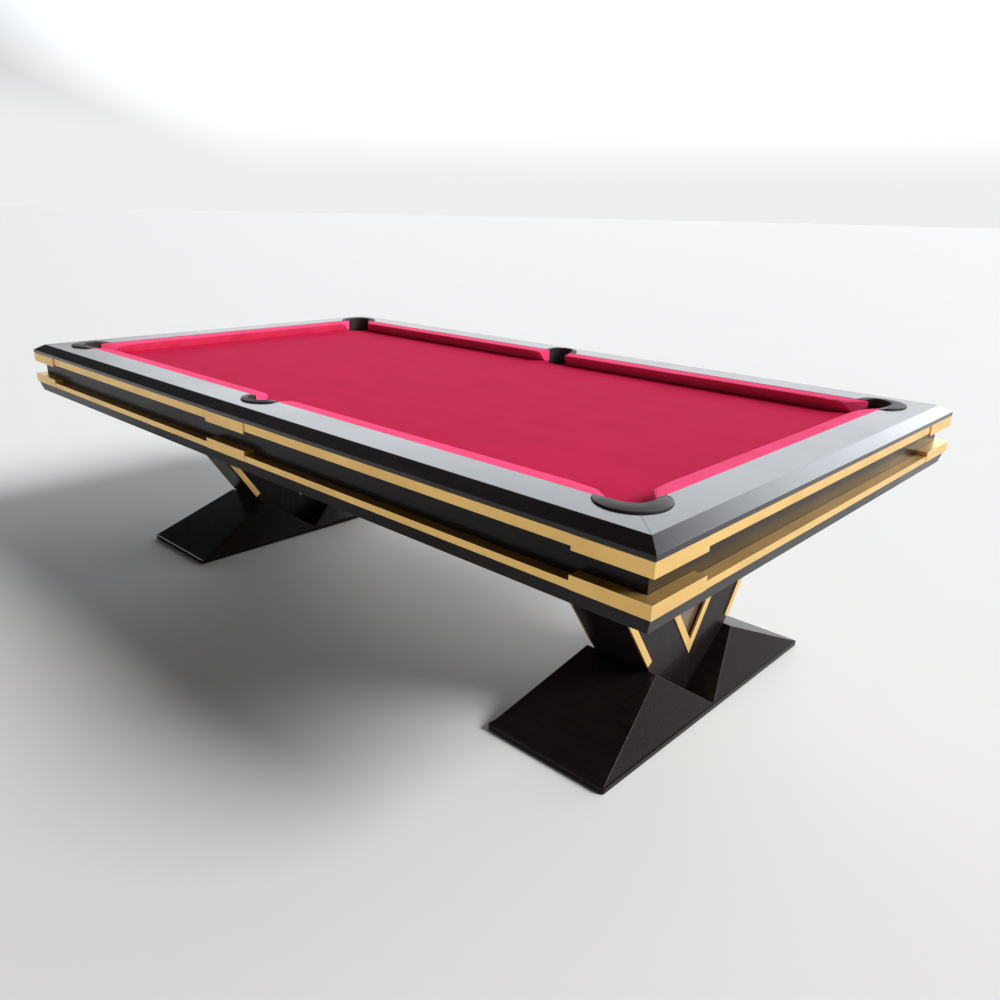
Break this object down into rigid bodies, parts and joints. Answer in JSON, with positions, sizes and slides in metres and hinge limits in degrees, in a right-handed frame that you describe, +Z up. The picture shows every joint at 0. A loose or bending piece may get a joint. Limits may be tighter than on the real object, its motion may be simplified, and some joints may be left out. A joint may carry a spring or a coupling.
{
  "type": "pool table",
  "caption": "Full-size pool table: mitred black rails with gilded stepped bands, crimson cloth over slate, drop pockets, and wedge pedestals on hipped plinths.",
  "frame": {"origin": "on the floor, under the middle of the playing surface", "axes": "+X along the table towards its front end, +Y across it to the right side, +Z up"},
  "size_m": [2.926, 1.656, 0.838],
  "materials": {
    "black_lacquer": "gloss black lacquer over open grain",
    "gold_lacquer": "satin gold lacquer",
    "bronze_lacquer": "satin bronze lacquer",
    "bed_cloth": "napped worsted wool cloth",
    "cushion": "rubber profile covered in the bed's cloth",
    "slate": "honed slate",
    "frame_wood": "planed softwood and board, unfinished",
    "pocket_black": "black powder coat",
    "bucket_black": "moulded black rubber",
    "glide_rubber": "matt rubber",
    "steel": "zinc-plated"
  },
  "bodies": {
    "table": {"apron_end_boards": "black_lacquer", "apron_side_boards": "black_lacquer", "bed_cloth": "bed_cloth", "corner_pocket_buckets": "bucket_black", "cushion_end_front": "cushion", "cushion_end_rear": "cushion", "cushion_left_front": "cushion", "cushion_left_rear": "cushion", "cushion_right_front": "cushion", "cushion_right_rear": "cushion", "end_rail_front": "black_lacquer", "end_rail_rear": "black_lacquer", "frame_cross_beams": "frame_wood", "frame_long_beams": "frame_wood", "front_column": "black_lacquer", "front_edge_strips": "gold_lacquer", "front_left_foot": "black_lacquer", "front_plinth": "black_lacquer", "front_right_foot": "black_lacquer", "front_v_inserts": "bronze_lacquer", "front_v_strips": "gold_lacquer", "leveller_nuts": "steel", "lower_ledge_blocks": "gold_lacquer", "lower_ledge_strips": "gold_lacquer", "pedestal_bolts": "steel", "pedestal_top_plates": "frame_wood", "plinth_glides": "glide_rubber", "pocket_casting_front_left": "pocket_black", "pocket_casting_front_right": "pocket_black", "pocket_casting_rear_left": "pocket_black", "pocket_casting_rear_right": "pocket_black", "pocket_casting_side_left": "pocket_black", "pocket_casting_side_right": "pocket_black", "rail_bolts": "steel", "rear_column": "black_lacquer", "rear_edge_strips": "gold_lacquer", "rear_left_foot": "black_lacquer", "rear_plinth": "black_lacquer", "rear_right_foot": "black_lacquer", "rear_v_inserts": "bronze_lacquer", "rear_v_strips": "gold_lacquer", "side_pocket_buckets": "bucket_black", "side_rail_left": "black_lacquer", "side_rail_right": "black_lacquer", "skirt_boards": "black_lacquer", "slate_backing": "frame_wood", "slate_front": "slate", "slate_middle": "slate", "slate_rear": "slate", "slate_screws": "steel", "upper_trim_blocks": "gold_lacquer", "upper_trim_strips": "gold_lacquer"},
    "pad_front_left": {"leveller_pad_front_left": "glide_rubber"},
    "stem_front_left": {"leveller_stem_front_left": "steel"},
    "pad_front_right": {"leveller_pad_front_right": "glide_rubber"},
    "stem_front_right": {"leveller_stem_front_right": "steel"},
    "pad_rear_left": {"leveller_pad_rear_left": "glide_rubber"},
    "stem_rear_left": {"leveller_stem_rear_left": "steel"},
    "pad_rear_right": {"leveller_pad_rear_right": "glide_rubber"},
    "stem_rear_right": {"leveller_stem_rear_right": "steel"}
  },
  "joints": [
    {"name": "leveller_travel_front_left", "type": "slide", "parent": "table", "child": "pad_front_left", "axis": [0, 0, -1], "range_m": [0, 0.012]},
    {"name": "leveller_turn_front_left", "type": "hinge", "parent": "pad_front_left", "child": "stem_front_left", "pos_m": [0.997, -0.33, 0.01], "axis": [0, 0, -1], "range_deg": [0, 2170]},
    {"name": "leveller_travel_front_right", "type": "slide", "parent": "table", "child": "pad_front_right", "axis": [0, 0, -1], "range_m": [0, 0.012]},
    {"name": "leveller_turn_front_right", "type": "hinge", "parent": "pad_front_right", "child": "stem_front_right", "pos_m": [0.997, 0.33, 0.01], "axis": [0, 0, -1], "range_deg": [0, 2170]},
    {"name": "leveller_travel_rear_left", "type": "slide", "parent": "table", "child": "pad_rear_left", "axis": [0, 0, -1], "range_m": [0, 0.012]},
    {"name": "leveller_turn_rear_left", "type": "hinge", "parent": "pad_rear_left", "child": "stem_rear_left", "pos_m": [-0.997, -0.33, 0.01], "axis": [0, 0, -1], "range_deg": [0, 2170]},
    {"name": "leveller_travel_rear_right", "type": "slide", "parent": "table", "child": "pad_rear_right", "axis": [0, 0, -1], "range_m": [0, 0.012]},
    {"name": "leveller_turn_rear_right", "type": "hinge", "parent": "pad_rear_right", "child": "stem_rear_right", "pos_m": [-0.997, 0.33, 0.01], "axis": [0, 0, -1], "range_deg": [0, 2170]}
  ],
  "couplings": [
    {"joint": "leveller_turn_front_left", "follows": "leveller_travel_front_left", "rad_per_m": 3141.6},
    {"joint": "leveller_turn_front_right", "follows": "leveller_travel_front_right", "rad_per_m": 3141.6},
    {"joint": "leveller_turn_rear_left", "follows": "leveller_travel_rear_left", "rad_per_m": 3141.6},
    {"joint": "leveller_turn_rear_right", "follows": "leveller_travel_rear_right", "rad_per_m": 3141.6}
  ]
}
